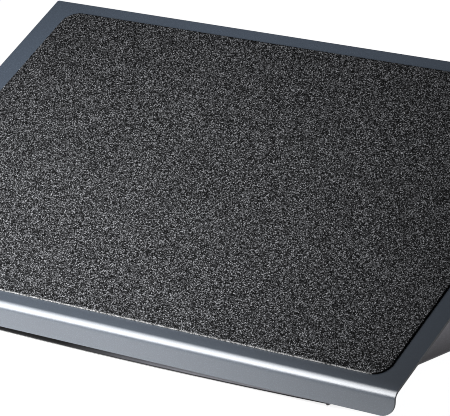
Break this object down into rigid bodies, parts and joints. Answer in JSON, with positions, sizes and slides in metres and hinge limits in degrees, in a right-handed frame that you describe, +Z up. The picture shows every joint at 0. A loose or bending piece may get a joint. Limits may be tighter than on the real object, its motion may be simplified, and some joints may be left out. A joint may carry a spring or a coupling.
{
  "type": "tilting footrest",
  "caption": "Under-desk footrest: sheet-metal platform with folded front lip and anti-slip mat, tilting on side pivots held by friction over a low steel base.",
  "frame": {"origin": "on the floor, under the centre of the footrest's bounding box in the modelled pose, with the back edge of the platform at its highest", "axes": "+X to the right of the person whose feet rest on its platform, +Y away from that person, from the folded lip to the raised back edge, +Z up"},
  "size_m": [0.558, 0.2998, 0.1974],
  "materials": {
    "plate_paint": "satin blue-grey powder coat with a fine metallic speckle",
    "mat_rubber": "pebbled matte charcoal",
    "underside_paint": "satin blue-grey powder coat",
    "base_grey_paint": "satin neutral grey powder coat",
    "base_black_paint": "satin black powder coat",
    "foot_rubber": "matte black moulded",
    "friction_fibre": "pressed fibre friction lining",
    "bush_polymer": "natural moulded bearing polymer",
    "spring_steel": "oiled spring steel",
    "black_fastener": "blackened steel",
    "zinc_steel": "zinc plated"
  },
  "bodies": {
    "base": {"side_panel_right": "base_grey_paint", "side_panel_left": "base_grey_paint", "front_crossmember": "base_black_paint", "rear_crossmember": "base_black_paint", "crossmember_screws": "black_fastener", "crossmember_nuts": "zinc_steel", "foot_front_right": "foot_rubber", "foot_front_left": "foot_rubber", "foot_rear_right": "foot_rubber", "foot_rear_left": "foot_rubber", "pivot_bolt_right": "black_fastener", "pivot_bolt_left": "black_fastener", "friction_disc_right": "friction_fibre", "friction_disc_left": "friction_fibre", "thrust_washer_right": "zinc_steel", "thrust_washer_left": "zinc_steel", "disc_spring_right": "spring_steel", "disc_spring_left": "spring_steel", "pivot_nut_right": "zinc_steel", "pivot_nut_left": "zinc_steel"},
    "platform": {"platform_plate": "plate_paint", "anti_slip_mat": "mat_rubber", "stiffener_front": "underside_paint", "stiffener_rear": "underside_paint", "hanger_right": "underside_paint", "hanger_left": "underside_paint", "hanger_studs": "zinc_steel", "hanger_nuts": "zinc_steel", "pivot_bush_right": "bush_polymer", "pivot_bush_left": "bush_polymer", "stop_pin_right": "black_fastener", "stop_pin_left": "black_fastener"}
  },
  "joints": [
    {"name": "platform_tilt", "type": "hinge", "parent": "base", "child": "platform", "pos_m": [0, 0.0169, 0.08419], "axis": [1, 0, 0], "range_deg": [-30, 0]}
  ]
}
